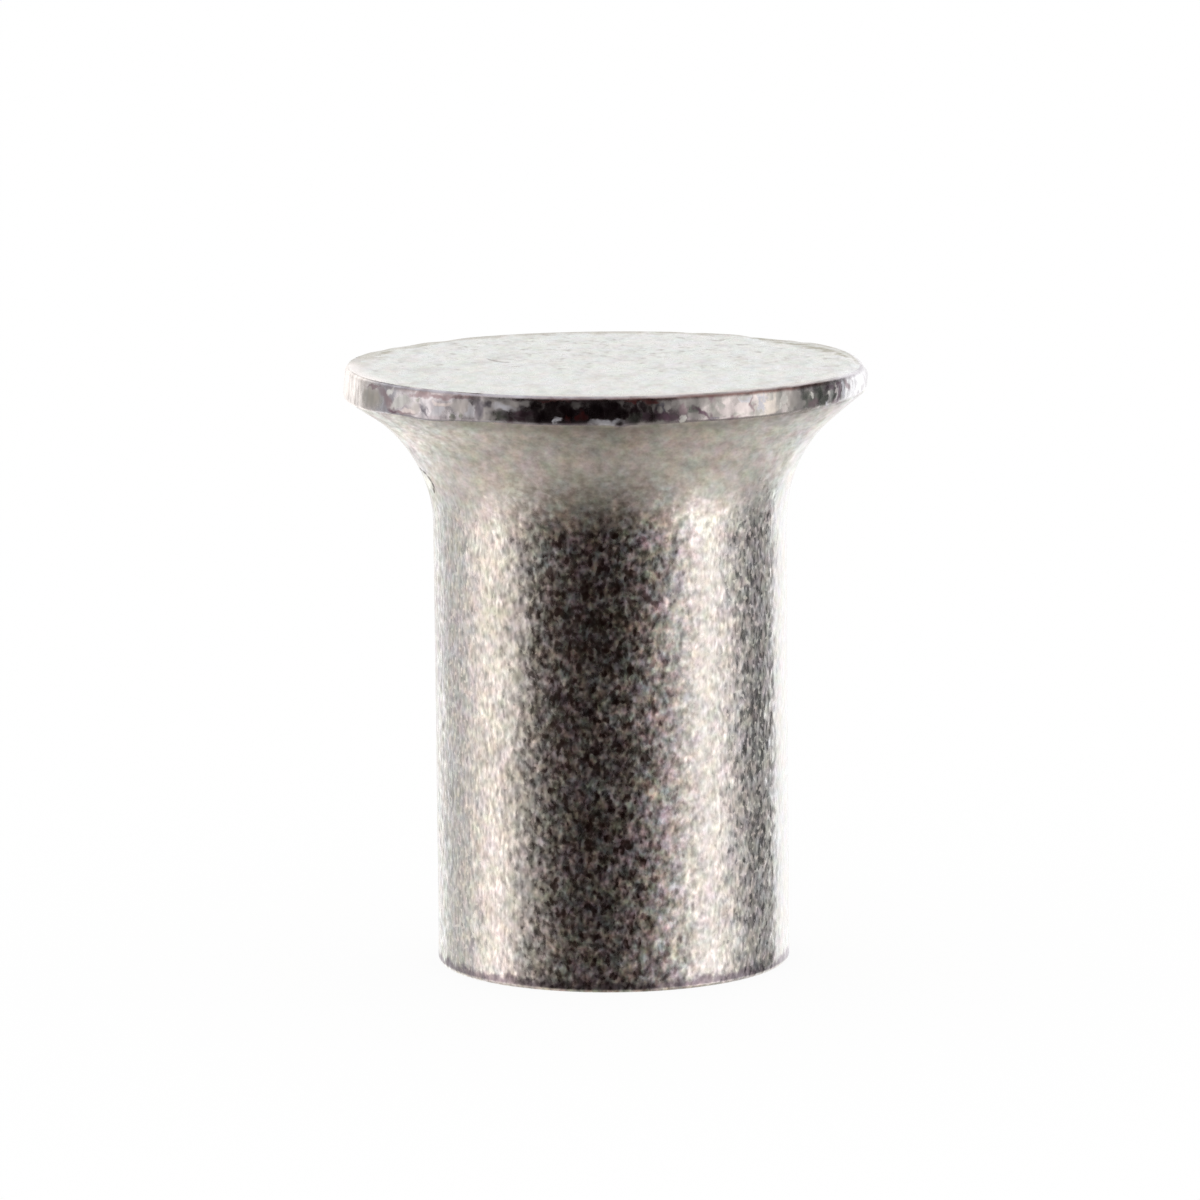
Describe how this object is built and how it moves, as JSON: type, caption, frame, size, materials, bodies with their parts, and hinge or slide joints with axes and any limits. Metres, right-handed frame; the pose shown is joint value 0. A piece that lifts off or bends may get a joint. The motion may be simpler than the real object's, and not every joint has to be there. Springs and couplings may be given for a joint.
{
  "type": "self-piercing rivet",
  "caption": "Semi-tubular rivet with a flat countersunk head, a flared neck, a plain shank and a hollow, sharp-lipped tail that pierces sheet metal and flares inside it.",
  "frame": {"origin": "centre of the tail's flat lip, on the rivet's axis", "axes": "+Z along the axis, from the tail to the head; X and Y are alike"},
  "size_m": [0.0078, 0.0078, 0.0091],
  "materials": {
    "plated_steel": "satin, mechanically plated"
  },
  "bodies": {
    "root": {"rivet": "plated_steel"}
  },
  "joints": []
}
